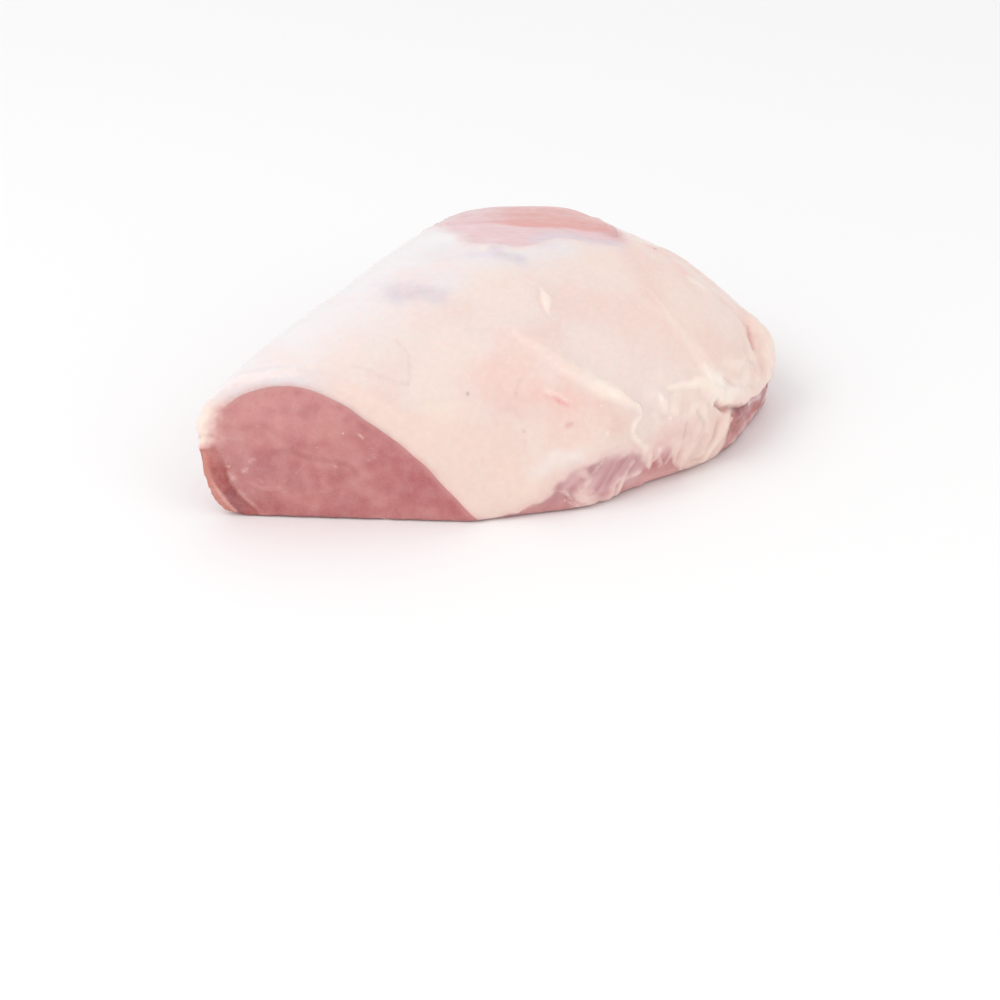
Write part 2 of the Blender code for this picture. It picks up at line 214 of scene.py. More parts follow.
# Sunk creases: path, half width, depth, then the tint painted into them, partly as shade, and its share.
CREASES = (
    (SEAM, 2.0, 0.8, None, 0),
    (SIDE_SEAM, 1.6, 0.4, None, 0),
    (((-117.6, 58.6, 33.8), (-115, 56.4, 33.6), (-112.4, 54.4, 33.2)), 1.6, 1.0, (208, 142, 124), 0.9),
    (((-101.7, 44.7, 59.5), (-98.3, 39.7, 61.3), (-94.2, 33.2, 62.2), (-91.1, 26, 62.2), (-88, 20.7, 61.2),
      (-82.4, 15.8, 59.7)), 1.6, 0.25, VIOLET, 0.8),
    (((-56.3, 9.5, 66.6), (-56.8, 5.2, 64.2), (-58.6, 1.5, 61), (-60.6, -0.9, 57.5), (-63.2, -2.3, 53.9)),
     1.6, 0.4, SHADE, 0.6),
    (((-76, 14, 61.5), (-73.2, 11.9, 60.8), (-70.4, 6.5, 57.8), (-66.9, 1.6, 55.2), (-63.2, -2.3, 53.7)),
     1.5, 0.3, SHADE, 0.5),
    (((-50, -27, 31.6), (-50.6, -27.6, 27), (-51.7, -28.5, 23)), 1.2, 0.3, SHADE, 0.7),
    (((-38, -37.3, 32), (-38.9, -38.2, 27)), 1.2, 0.2, SHADE, 0.5),
    (((-45, -35.7, 17), (-45.2, -36.9, 8)), 1.3, 0.2, SHADE, 0.5),
    (((-15.6, -51.5, 41.4), (-17.6, -52.7, 36.7)), 1.2, 0.2, SHADE, 0.5),
    (((1.2, -11.6, 74), (-3.4, -16.2, 72.2), (-6.6, -20.8, 70.3), (-7.4, -24.9, 68.4)),
     1.2, 0.35, SHADE, 0.7),
    (((93, -50, 41), (90, -51.8, 39.4), (86.5, -53.4, 37.2), (83.6, -56.4, 34.8), (82.3, -59.2, 31.7)),
     2.0, 1.0, ROSE, 0.6),
    (FOLD_CREASE, 1.9, 2.0, (196, 140, 128), 0.9),
    (((49.4, -71, 18), (50.4, -71.2, 12), (46, -70.6, 4)), 1.5, 1.0, ROSE, 0.7),
    (((41, -71.4, 19), (38.4, -71.2, 13), (33, -70, 8), (28, -68.8, 5)), 1.5, 0.9, TAN, 0.5),
    (((30.5, -69.4, 27.5), (33, -71, 18), (31.4, -70.6, 12), (27, -68.8, 6)), 1.4, 0.9, SHADE, 0.8),
    (((23.6, -68, 24), (21.6, -68.4, 15), (19.6, -66.6, 6)), 1.4, 0.9, ROSE, 0.5),
    (((8.4, -64.6, 19), (8.6, -64.6, 12), (8.2, -62.6, 4)), 1.3, 0.8, ROSE, 0.6),
    (((49, -68.6, 34), (55, -69, 29), (63, -69, 25)), 1.6, 0.6, SHADE, 0.8),
    (((70, -61, 39), (73, -64.4, 31), (76, -65.4, 25.5)), 1.5, 0.6, SHADE, 0.7),
)
# Soft patches of colour in the fat: path, half width, colour, share.
PATCHES = (
    (((-42, -24, 54), (-32, -32, 50), (-24, -46, 40)), 20, (236, 198, 188), 0.8),
    # Darker pink along the strand's lower side, partly painted shade.
    (((-20, -46, 46), (-13, -54, 40), (-8, -59, 33)), 11, (234, 196, 184), 0.8),
    (((-28, -47, 33), (-22, -52, 28)), 10, (238, 205, 192), 0.6),
    (((28, -44, 62), (36, -58, 49), (40, -64, 40)), 15, (238, 204, 192), 0.5),
    (((-60, -12, 40), (-46, -28, 24), (-40, -38, 12)), 15, (243, 217, 201), 0.6),
    (((-38, -41, 19), (-32, -46.4, 22), (-25, -52, 23.5)), 8, (240, 230, 224), 0.75),
    # Where membranes show bluish through the white: the wide soft ones first, then their darker hearts.
    (((-36, 31, 75), (-26, 23, 76), (-20, 18, 76.8)), 14, (232, 223, 228), 0.7),
    (((-38, 25, 74.4), (-33.5, 19, 74.6), (-30, 14, 74.8)), 11, (208, 195, 206), 0.85),
    (((-5, 36, 79), (-1, 22, 79.4), (6, 10, 79.2), (18, 1, 78.6), (30, -3, 77.6)), 12, (229, 225, 229), 0.8),
    (((9.6, 15.5, 80.2), (7.2, 11, 79.4), (7.4, 7, 78.8), (9.2, 3.6, 78.2)), 6.5, (207, 199, 206), 0.8),
    (((1, 21, 79.6), (5, 16, 79.8), (9.6, 14, 80)), 5, (224, 213, 228), 0.7),
    (((25, 5, 79.3), (36, 4, 78.2), (44, -4, 76.2), (50, -11, 74)), 7, (226, 216, 224), 0.8),
    (((-29.8, -37.1, 47.3), (-24.5, -42.5, 45.7), (-18.8, -47.7, 44.2)), 6, (238, 194, 184), 0.5),
    (((-27.3, -38.9, 47.5), (-25.7, -41.1, 46.4), (-23.9, -43.5, 44.9)), 1.5, (232, 168, 160), 0.5),
    (((-24.6, -42.8, 45.3), (-22.5, -45.4, 43.7), (-21.8, -46.2, 43.2)), 1.9, (229, 150, 144), 0.7),
    (((-26.8, -38.8, 48.7), (-24.3, -41.4, 47.3), (-21.8, -45, 45)), 1.1, (250, 226, 214), 0.6),
    (((-31.8, -30.9, 53.3), (-33.6, -31.4, 50.7), (-35.4, -31.9, 47.8)), 1.4, (214, 176, 174), 0.45),
    (((-39.3, -28.7, 47.1), (-38, -31.5, 44.5), (-36.7, -33.4, 43.3)), 4.5, (229, 186, 182), 0.5),
    (((-48.7, -18.4, 49.2), (-48.6, -18.5, 49)), 1.1, (168, 130, 118), 0.9),
    (((-37.5, -36.5, 35.5), (-37.4, -36.6, 35.3)), 1.1, (186, 138, 118), 0.9),
    (((-24.9, -47.7, 36.2), (-23.6, -48.6, 36)), 1.5, (209, 154, 142), 0.8),
    # A painted ring of highlight round a wet bead.
    (((9.3, -65.5, 17.8), (11, -66.1, 18.7), (12.5, -66.6, 17.2), (11.2, -66.1, 15.5)),
     1.3, (252, 226, 220), 0.8),
    (((80.6, -12.7, 62.8), (90, -27.4, 52), (90.7, -37.9, 46.9), (89.1, -49.2, 40)), 8, (243, 200, 190), 0.7),
    (((66, -8, 68), (72, -18, 64), (74, -26, 61.5), (73, -31, 60)), 6, (245, 196, 190), 0.8),
    (((70, -36, 58), (75, -38, 55.5)), 6, (250, 232, 219), 0.8),
    (((71.6, -15.6, 66.2), (74, -15.2, 65.6)), 1.4, (188, 120, 108), 0.8),
    (((79.6, -43.7, 49.4), (83.1, -47.8, 44.5), (82.7, -52.7, 40.3)), 3.5, (238, 182, 178), 0.6),
    (((-73.9, -4, 38), (-66.7, -13.5, 30.6), (-63.4, -18, 24), (-62, -18.8, 18.5), (-59, -23, 8.8)),
     1.5, (219, 198, 188), 0.8),
    (((9, -65.2, 19), (12, -66.6, 22), (19, -68.3, 22), (28, -69.9, 17)), 11, (230, 193, 188), 0.7),
    (((56, -68, 33), (66, -66, 36), (76, -60, 40)), 9, (236, 200, 188), 0.5),
    (((39, -68, 37), (46.5, -69.3, 31), (54, -70, 27)), 8, (255, 246, 236), 1.0),
    (((14, -64, 36), (20, -66, 33)), 6, (248, 229, 216), 0.6),
    (((46, -71, 12), (40, -71, 6), (28, -68, 5), (22, -66, 6)), 6, (235, 194, 176), 0.6),
    # Painted brownish shade along the foot of the lumps.
    (((47, -70, 3), (38, -69, 2), (26, -66, 2)), 4, (214, 160, 144), 0.7),
    # Painted brownish shade along the lumps' edge beside the under-lip.
    (((51, -71, 18), (51, -71, 12), (48, -71, 6)), 3.4, (214, 158, 150), 0.75),
    (((9.8, -65.6, 17), (12.7, -66.8, 18), (16, -67.6, 13), (20, -67.6, 7)), 5, (226, 168, 162), 0.6),
)
# Soft patches, fine pale lines and a few painted highlights in the lean of the cut: path, half width, colour,
# share.
CUT_PATCHES = (
    (((-109, 48, 36), (-107, 44, 22), (-104, 41, 12)), 9, (200, 138, 136), 0.6),
    (((-112, 53.6, 41), (-110.6, 52, 33)), 5, (222, 166, 158), 0.7),
    (((-97, 31, 20), (-101, 37, 22), (-94, 27, 18)), 11, (180, 106, 108), 0.55),
    (((-104.6, 42, 7), (-101, 37, 5)), 7, (170, 86, 82), 0.7),
    (((-78, 4, 34), (-70, -8, 22), (-62, -20, 10)), 15, (180, 92, 96), 0.7),
    (((-88, 18, 40), (-82, 9, 33)), 9, (206, 138, 132), 0.4),
    (((-99.9, 35.2, 28.4), (-95.6, 29.1, 29.2), (-92, 23.9, 26.3), (-85.5, 14.7, 24.6), (-82.8, 10.8, 23),
      (-81.5, 8.9, 19.5)), 2.2, (172, 94, 92), 0.6),
    (((-106, 44, 38), (-102, 38, 39), (-99, 33, 36)), 2.0, (180, 104, 104), 0.4),
    (((-86, 15, 24), (-85, 14, 16), (-87, 17, 8)), 3.0, (178, 100, 98), 0.4),
    (((-93, 25, 24), (-92, 24, 12)), 3.0, (208, 142, 138), 0.4),
    # Three short painted highlights, as wet glints on the cut.
    (((-80.8, 7.9, 36.9), (-79.8, 6.6, 35.2)), 0.7, (240, 206, 198), 0.7),
    (((-79, 5.3, 26), (-77.4, 3.2, 26.8)), 0.6, (226, 176, 172), 0.5),
    (((-86.4, 16, 23.4), (-85.8, 15.1, 22.4)), 0.8, (232, 186, 182), 0.6),
    (((-111, 52, 37), (-109.6, 50.4, 38.6)), 0.9, (236, 194, 188), 0.6),
    (((-109.4, 50.2, 18), (-108.6, 49.3, 16.4)), 1.5, (244, 212, 208), 1.0),
    (((-109.2, 49.8, 15.4), (-107.8, 48, 15.8)), 1.3, (240, 202, 196), 0.9),
    (((-102.6, 40.6, 16.2), (-101.6, 39, 15.6)), 1.2, (238, 198, 192), 0.9),
    (((-106.4, 45, 19), (-105.4, 43.6, 20.4)), 1.2, (230, 184, 180), 0.8),
    (((-104.6, 42.6, 24), (-103.6, 41.2, 25)), 1.1, (228, 180, 176), 0.7),
    (((-110, 51, 33), (-108.6, 49, 33.6), (-107.6, 47.6, 32)), 0.8, (232, 186, 182), 0.5),
    (((-105.2, 42.8, 15), (-102, 38.2, 12.6), (-98.2, 32.8, 13)), 1.2, (218, 160, 156), 0.5),
    (((-109.2, 49.4, 17), (-108.4, 48.6, 12.5), (-106.4, 46, 8.6), (-104, 42.8, 5)),
     2.2, (224, 166, 158), 0.7),
)
# The same in the bare lean: the pale veil over the top muscle, the patches along the belly side, the painted
# shadow, the painted highlight and the pale rim under the far end's fold, the meat in the hem's notch, and the
# side muscle's painted shade.
TOP_VEIL = (((30, 9, 78.8), (40, 6, 77.4), (47, -4, 75.4), (55, -11, 72.6)), 9, (221, 208, 218), 0.9)
BELLY_PATCHES = (
    (((-19, -57, 18), (-11.5, -59.4, 17), (-3, -60.7, 14.5)), 8, (192, 140, 146), 0.6),
    (((-38.7, -42, 7.6), (-35, -45.3, 10.6), (-31.4, -48.3, 13.6)), 6, (188, 136, 136), 0.6),
)
FOLD_PATCHES = (
    # Painted shadow along the crease under the fold.
    (FOLD_CREASE, 6, (136, 70, 74), 0.7),
    # A painted highlight below the crease.
    (((68, -68, 15), (79, -64.5, 12.5), (84, -63.2, 11)), 2.2, (228, 198, 206), 1),
    (((50, -69.7, 3.4), (59, -68.2, 3.4), (69, -65.7, 4), (80.5, -62.4, 4.4), (91, -59.6, 6.4),
      (93, -58.6, 11)), 2.0, (226, 190, 187), 0.8),
)
HEM_NOTCH = (((10, -65, 10), (16, -66.6, 9)), 8, (192, 112, 114), 0.7)
# Painted shade towards the side muscle's foot.
SIDE_MUSCLE_SHADE = (((-108.8, 49.4, 10), (-107, 46.6, 3)), 5, (140, 56, 66), 0.8)
# Small wet beads and shreds, raised a little, each with a painted highlight: spot and half width.
GLINTS = (
    ((13.7, -63.6, 37.1), 1.3), ((15.6, -66.8, 28.8), 1.0), ((-12.6, -57.6, 31), 1.2),
    ((-11.3, -53.9, 41.2), 0.7), ((20.5, -65.5, 36.4), 0.7), ((60, -68.6, 27), 0.9), ((10.5, -65.6, 17), 1.1),
    ((44, -69, 33), 0.8),
)


def smooth(low, high, value):
    """0 below low, 1 above high, and a smooth rise between them."""
    t = np.clip((value - low) / (high - low), 0, 1)
    return t * t * (3 - 2 * t)


def curve_through(path, steps=5):
    """Points on the smooth curve through the path's points."""
    points = np.array(path, float)
    ends = np.concatenate([2 * points[:1] - points[1:2], points, 2 * points[-1:] - points[-2:-1]])
    curve = []
    for before, start, end, after in zip(ends, ends[1:], ends[2:], ends[3:]):
        for t in np.arange(steps) / steps:
            curve.append(
                start
                + (end - before) * t / 2
                + (2 * before - 5 * start + 4 * end - after) * t**2 / 2
                + (3 * start - before - 3 * end + after) * t**3 / 2
            )
    return np.array(curve + [points[-1]])


def nearest(places, path, reach):
    """(distance, share) of each place to the curve through path: past reach the distance is FAR."""
    line = curve_through(path)
    inside = ((places > line.min(0) - reach) & (places < line.max(0) + reach)).all(1)
    near_by = places[inside]
    best = np.full(len(near_by), FAR)
    best_share = np.zeros(len(near_by))
    for i, (start, end) in enumerate(zip(line, line[1:])):
        run = end - start
        along = np.clip((near_by - start) @ run / (run @ run), 0, 1)
        gap = np.linalg.norm(near_by - start - along[:, None] * run, axis=1)
        closer = gap < best
        best[closer] = gap[closer]
        best_share[closer] = (i + along[closer]) / (len(line) - 1)
    distance = np.full(len(places), FAR)
    share = np.zeros(len(places))
    distance[inside] = best
    share[inside] = best_share
    return distance, share


def near(places, path, half_width):
    """1 on a path's curve, falling smoothly to 0 at half_width from it."""
    return 1 - smooth(0, half_width, nearest(places, path, half_width)[0])


def at_spot(places, spot, half_width):
    """1 at one spot, falling smoothly to 0 at half_width from it."""
    return near(places, (spot, np.array(spot) + 0.1), half_width)


def swell(places, path, half_width, height):
    """The height on a path's curve, falling smoothly to 0 at half_width from it."""
    return height * near(places, path, half_width)


def spread(share, values):
    """The values, spread evenly along a path, at each share of it."""
    return np.interp(share, np.linspace(0, 1, len(values)), values)


def across(places, path, half_widths):
    """(how far each place is from a path's curve in half widths, which change along it, and its share)."""
    distance, share = nearest(places, path, max(half_widths) * 1.5)
    return distance / spread(share, half_widths), share


def seam_line(seam, z):
    """The y of a seam on the cut at each height z."""
    _, y, height = np.array(seam[::-1]).T
    return np.interp(z, height, y)


def cut_share(places, normals):
    """1 on the bias cut, and 0 off it: its points face as it does, and lie close behind its plane."""
    behind = (places[:, 0] - CUT_X + CUT_SLOPE * places[:, 1]) / CUT_STRETCH
    return smooth(0.4, 0.75, normals @ CUT_FACING) * smooth(5.0, 2.5, behind)


def depth_inside(u, v, outline):
    """How deep each (u, v) lies inside a closed outline: negative outside it."""
    line = curve_through(outline, 4)
    place = np.stack([u, v], 1)
    best = np.full(len(u), FAR)
    crossings = np.zeros(len(u), int)
    for start, end in zip(line, np.roll(line, -1, axis=0)):
        run = end - start
        along = np.clip((place - start) @ run / max(run @ run, 1e-9), 0, 1)
        best = np.minimum(best, np.linalg.norm(place - start - along[:, None] * run, axis=1))
        if run[1]:
            spans = (start[1] > v) != (end[1] > v)
            crossings += spans & (u < start[0] + (v - start[1]) * run[0] / run[1])
    return np.where(crossings % 2 == 1, best, -best)


def waves(places, size, octaves=1, seed=0):
    """Soft noise from about -1 to 1, with features of one size in mm."""
    shift = Vector((31.7, 12.9, 47.3)) * seed
    return np.array([noise.fractal(Vector(p) + shift, 1.0, 2.0, octaves) for p in (places / size).tolist()])


def stirred(places, size, reach, seed):
    """The places moved about by soft noise, so that what is drawn by them wanders."""
    return places + reach * np.stack([waves(places, size, 2, seed + axis) for axis in range(3)], 1)


# ------------------------------------------------------------------ the fine mesh


def fine_mesh(node):
    """A closed, even and fine mesh over a node's own mesh, as a new object."""
    mesh = node.data.copy()
    weld = bmesh.new()
    weld.from_mesh(mesh)
    bmesh.ops.remove_doubles(weld, verts=weld.verts, dist=0.01 * MM)
    weld.to_mesh(mesh)
    weld.free()
    piece = bpy.data.objects.new("pork_loin_meat", mesh)
    bpy.context.scene.collection.objects.link(piece)
    remesh = piece.modifiers.new("Fine grid", "REMESH")
    remesh.mode = "VOXEL"
    remesh.voxel_size = VOXEL
    graph = bpy.context.evaluated_depsgraph_get()
    fine = bpy.data.meshes.new_from_object(piece.evaluated_get(graph))
    piece.modifiers.clear()
    piece.data = fine
    fine.materials.clear()
    return piece


def places_of(mesh):
    """Each point's place, in mm."""
    places = np.empty(len(mesh.vertices) * 3, np.float32)
    mesh.vertices.foreach_get("co", places)
    return places.reshape(-1, 3).astype(float) / MM


def put_places(mesh, places):
    """Move each point to its place, given in mm."""
    mesh.vertices.foreach_set("co", (places * MM).astype(np.float32).ravel())
    mesh.update()


def normals_of(mesh):
    normals = np.empty(len(mesh.vertices) * 3, np.float32)
    mesh.vertex_normals.foreach_get("vector", normals)
    return normals.reshape(-1, 3).astype(float)


def edges_of(mesh):
    edges = np.empty(len(mesh.edges) * 2, np.int32)
    mesh.edges.foreach_get("vertices", edges)
    return edges.reshape(-1, 2)


def smoothed(values, edges, passes, share=0.5):
    """The values of each point, moved over and over towards the mean of its neighbours' by a share."""
    count = np.bincount(edges.ravel(), minlength=len(values))
    first, second = edges.T
    for _ in range(passes):
        for column in values.T:
            total = np.bincount(first, column[second], len(column))
            total += np.bincount(second, column[first], len(column))
            column += (total / count - column) * share
    return values


def fitted(places, low, high):
    """The places stretched by a hair so that their box is exactly the solid's."""
    own_low, own_high = places.min(0), places.max(0)
    return low + (places - own_low) * (high - low) / (own_high - own_low)


# ------------------------------------------------------------------ where lean and fat lie


def unrolled(places):
    """(x, mm round the long axis) of each place, counted from +Y up over the crest."""
    turn = np.degrees(np.arctan2(places[:, 2] - AXIS_Z, places[:, 1] - AXIS_Y))
    return places[:, 0], np.where(turn < UNROLL_FROM, turn + 360, turn) * MM_PER_DEGREE


def in_mm(outline):
    """An outline on the unrolled side, with its degrees as mm."""
    return [(x, degrees * MM_PER_DEGREE) for x, degrees in outline]


class Fields:
    """What the relief, the colours and the material need to know about each point."""

    def __init__(self, places, normals):
        self.places = places
        self.normals = normals
        self.x, self.y, self.z = places.T
        self.warped = stirred(places, 6, 1.1, seed=11)
        self.find_sides()
        self.find_lean()
        self.find_edge()
        self.find_grain()

    def find_sides(self):
        """How far each point belongs to the cut, the other sides, the side muscle and the loose fat."""
        self.cut = cut_share(self.places, self.normals)
        self.far = smooth(0.45, 0.72, self.normals[:, 0]) * smooth(78, 88, self.x)
        self.top = smooth(0.55, 0.85, self.normals[:, 2])
        self.belly = (self.y < 0) * (1 - smooth(24, 34, self.z)) * (1 - self.cut)
        past_seam = smooth(-0.8, 0.8, self.y - seam_line(SEAM, self.z))
        self.side_muscle = past_seam * self.cut * (1 - smooth(27, 31, self.z))
        self.loose = near(self.places, LOOSE_FAT, LOOSE_REACH) * (1 - self.far)
        # The skin's relief is calmer towards the cut's chine corner.
        self.calm = 0.3 + 0.7 * smooth(-112, -90, self.x)

    def find_lean(self):
        """How deep each point lies in lean, and how near it is to the threads of fat over it."""
        on_cut = [(y * CUT_STRETCH, z) for y, z in CUT_LEAN]
        cut_depth = depth_inside(self.y * CUT_STRETCH, self.z, on_cut) - OFF_FACE * (1 - self.cut)
        chine_depth = depth_inside(*unrolled(self.places), in_mm(CHINE_LEAN))
        hem_x, hem_z = curve_through(HEM, 4).T
        frayed = stirred(self.places, 9, 1.8, seed=31)
        belly_depth = np.interp(frayed[:, 0], hem_x, hem_z) - frayed[:, 2]
        belly_depth = np.where(self.y < 0, belly_depth, -FAR)
        far_depth = depth_inside(self.y, self.z, FAR_LEAN) - OFF_FACE * (1 - self.far)
        self.bare = np.maximum.reduce([chine_depth, belly_depth, far_depth])
        self.red = depth_inside(*unrolled(self.places), in_mm(RED_MUSCLE))
        self.thread = np.full(len(self.places), FAR)
        for path, half_widths in THREADS:
            self.thread = np.minimum(self.thread, across(self.warped, path, half_widths)[0] - 1)
        self.depth = np.minimum(np.maximum(cut_depth, self.bare), self.thread * 1.2)

    def find_edge(self):
        """How the edge between fat and lean streaks at the cut's corner, and how soft it is, in mm."""
        corner = near(self.places, LIP_EDGE, 7) * self.cut
        self.depth += 1.8 * waves(self.places, 3, 2, seed=33) * corner
        # It is crisp on the cut, and fades on top and at the hem.
        self.soft = 1.4 + 1.6 * self.top
        for path, half_width, softness in SOFT_HEMS:
            self.soft += swell(self.places, path, half_width, softness)
        self.soft += (0.35 + 1.6 * corner - self.soft) * self.cut

    def find_grain(self):
        """How far each point lies along the fibres, as a vector."""
        slanted = (self.belly * smooth(44, 24, self.x))[:, None]
        grain = SIDE_GRAIN + (BELLY_GRAIN - SIDE_GRAIN) * slanted
        grain = self.top[:, None] * TOP_GRAIN + (1 - self.top)[:, None] * grain
        grain /= np.linalg.norm(grain, axis=1)[:, None]
        self.along = (self.places * grain).sum(1)[:, None] * grain


def relief(at):
    """How far each place stands out from the smoothed solid, in mm."""
    in_fat = smooth(0.8, -0.8, at.depth)
    skin = 1 - at.cut
    places = at.places
    fibres = places - DRAWN_OUT * at.along
    # The fat stands over the lean, swells softly, and is crumpled where it is loose.
    height = FAT_STEP * in_fat * skin
    height += 0.3 * waves(places, 9, 2, seed=5) * in_fat * skin * at.calm
    crumpled = 0.8 * waves(places, 6.5, 2, seed=8) - 0.8 * abs(waves(places, 11, 1, seed=9))
    height += at.loose * in_fat * crumpled
    # The lean is stringy along its fibres, smoother on the cut, and lumpy under the far end's fold.
    strings = 0.5 * waves(fibres, 7, 2, seed=6) + (0.1 + 0.4 * at.belly) * waves(fibres, 2.6, 1, seed=16)
    height += strings * (1 - in_fat) * skin * at.calm
    height += 0.2 * waves(places, 8, 2, seed=7) * at.cut
    height += 0.9 * waves(places, 7, 2, seed=18) * at.belly * smooth(42, 50, at.x) * (1 - in_fat)
    # Broad forms: the red muscle on top stands out a little all over, and more at its end.
    red_muscle = smooth(-0.9, 1.5, at.red) * smooth(45, 70, at.z)
    height += (0.25 + swell(places, *MUSCLE_END)) * red_muscle
    height += swell(places, *FLAT_CREST)
    height += swell(places, *SIDE_BULGE) * at.side_muscle
    for path, half_widths, heights, _ in ROLLS:
        gap, share = across(at.warped, path, half_widths)
        height += spread(share, heights) * (1 - smooth(0.15, 1.0, gap))
    height += 0.7 * (1 - smooth(-0.9, 0.5, at.thread))
    for path, half_width, deep, _, _ in CREASES:
        height -= deep * near(at.warped, path, half_width)
    for spot, half_width in GLINTS:
        height += 0.3 * at_spot(places, spot, half_width)
    return height * smooth(0, 3, at.z)


# ------------------------------------------------------------------ colours


def rgb(red, green, blue):
    """A colour given as 0 to 255 on a screen, in linear light."""
    values = np.array((red, green, blue)) / 255
    return np.where(values < 0.04045, values / 12.92, ((values + 0.055) / 1.055) ** 2.4)


def paint(colours, colour, share):
    """Move the colours towards one colour by a share for each point."""
    colours += (rgb(*colour) - colours) * np.clip(share, 0, 1)[:, None]


def daub(colours, places, region, path, half_width, colour, share):
    """Paint a soft patch round a path, as far as each point belongs to a region."""
    paint(colours, colour, region * near(places, path, half_width) * share)


def fat_colours(at):
    """The colour of the fat at each place."""
    patch = waves(at.places, 22, 2, seed=1)
    small = waves(at.places, 7, 2, seed=2)
    colours = np.tile(rgb(235, 205, 194), (len(patch), 1))
    paint(colours, (233, 215, 208), smooth(28, 60, at.z - 0.3 * at.y))
    paint(colours, (241, 216, 205), smooth(5, 50, at.x) * 0.9)
    paint(colours, (234, 200, 189), smooth(-0.1, 0.6, patch) * 0.5)
    paint(colours, (238, 218, 208), smooth(0.1, -0.5, patch) * 0.6)
    # It whitens over the crest, towards the chine side.
    whitened = smooth(-12, 44, at.y + 7 * patch + 0.12 * at.x) * (0.35 + 0.65 * smooth(80, 45, at.x))
    paint(colours, (239, 234, 236), whitened)
    paint(colours, (250, 231, 216), at.loose * smooth(0.0, 0.5, small) * 0.6)
    paint(colours, (226, 186, 172), at.loose * smooth(-0.1, -0.6, small) * 0.5)
    paint_fat_details(colours, at, small)
    paint_cut_fat(colours, at, small)
    # Painted highlights on the wet beads.
    for spot, half_width in GLINTS:
        paint(colours, (253, 246, 238), at_spot(at.places, spot, half_width) * 0.9)
    return colours


def paint_fat_details(colours, at, small):
    """The patches, rolls and creases of the fat, and its pinker thin edge and threads over the bare lean."""
    warped = stirred(at.places, 12, 3.5, seed=21)
    for path, half_width, colour, share in PATCHES:
        stir = warped if half_width > 3 else at.warped
        daub(colours, stir, 0.85 + 0.3 * small, path, half_width, colour, share)
    for path, half_widths, _, palers in ROLLS:
        gap, share = across(at.warped, path, half_widths)
        paint(colours, (251, 234, 221), (1 - smooth(0.35, 1.0, gap)) * spread(share, palers))
    # Tints painted into the creases, partly as shade.
    for path, half_width, _, tint, share in CREASES:
        if tint:
            daub(colours, at.warped, 1, path, half_width, tint, share)
    thin = smooth(-6, -0.5, at.bare + 1.5 * small) * (1 - at.cut)
    paint(colours, (233, 200, 194), thin * (0.35 + 0.35 * at.belly))
    paint(colours, (235, 202, 194), smooth(0.9, 0.0, at.thread) * 0.6)


def paint_cut_fat(colours, at, small):
    """The cut edge of the fat: bluish on top, creamy to the sides, pink where the lean begins, with a painted
    shadow line over it.
    """
    paint(colours, (238, 212, 201), at.cut * 0.9)
    paint(colours, (229, 217, 218), at.cut * smooth(44, 54, at.z) * smooth(10, 26, at.y))
    paint(colours, (255, 232, 220), at.cut * smooth(49, 54, at.y) * smooth(50, 42, at.z))
    paint(colours, (226, 176, 170), at.cut * smooth(-2.5, -0.4, at.depth + small) * 0.5)
    # A painted shadow line in the fat just beside the lean's upper edge.
    paint(colours, (206, 190, 192), at.cut * smooth(-1.6, -0.5, at.depth) * smooth(30, 40, at.z) * 0.4)
    paint(colours, (232, 182, 176), at.cut * smooth(-4, 0, at.depth + small) * smooth(44, 52, at.y) * 0.8)


def lean_colours(at):
    """The colour of the lean at each place."""
    patch = waves(at.places, 13, 2, seed=3)
    mottle = waves(at.places, 9, 2, seed=4)
    colours = np.tile(rgb(190, 118, 118), (len(patch), 1))
    paint(colours, (208, 150, 152), smooth(-0.1, 0.5, patch) * 0.7)
    paint_top_lean(colours, at, patch, mottle)
    paint_belly_lean(colours, at, mottle)
    flank = smooth(-100, -110, at.x) * smooth(30, 40, at.y) * (1 - at.cut)
    paint(colours, (190, 112, 102), flank)
    paint_cut_lean(colours, at, patch, mottle)
    paint_side_muscle(colours, at)
    return colours


def paint_top_lean(colours, at, patch, mottle):
    """On top, the muscle next to the fat lies under a pale membrane, and the one beyond it is redder."""
    high = smooth(40, 60, at.z)
    paint(colours, (232, 199, 203), high)
    paint(colours, (236, 210, 215), high * smooth(0.0, 0.5, patch) * 0.7)
    red = high * smooth(-1.0, 1.0, at.red)
    bias = at.places @ TOP_GRAIN + 3 * mottle
    paint(colours, (231, 196, 199), red)
    paint(colours, (225, 163, 158), red * smooth(-16, 4, bias) * smooth(48, 36, bias))
    paint(colours, (220, 172, 174), high * smooth(36, 44, bias) * 0.6)
    daub(colours, at.warped, high * (1 - red), *TOP_VEIL)


def paint_belly_lean(colours, at, mottle):
    """Along the belly side it is paler, with redder strings, and darker under the far end's fold."""
    paint(colours, (215, 170, 173), at.belly)
    strings = waves(at.places - 0.8 * at.along, 5, 2, seed=13)
    paint(colours, (180, 116, 122), at.belly * smooth(0, 0.5, strings) * 0.7)
    paint(colours, (228, 192, 192), at.belly * smooth(0, -0.5, strings) * 0.5)
    for patch in BELLY_PATCHES:
        daub(colours, at.warped, at.belly, *patch)
    paint(colours, (194, 124, 122), at.belly * smooth(8, 2, at.z) * smooth(8, -4, at.x) * 0.7)
    paint(colours, (226, 172, 168), at.belly * smooth(12, 4, at.z) * smooth(-4, 8, at.x) * 0.8)
    under_fold = at.belly * smooth(42, 50, at.x)
    paint(colours, (182, 104, 102), under_fold)
    paint(colours, (152, 76, 74), under_fold * smooth(0.0, 0.35, mottle) * 0.7)
    paint(colours, (208, 150, 155), under_fold * smooth(-0.05, -0.4, mottle) * 0.6)
    for patch in FOLD_PATCHES:
        daub(colours, at.warped, under_fold, *patch)
    daub(colours, at.places, at.belly, *HEM_NOTCH)


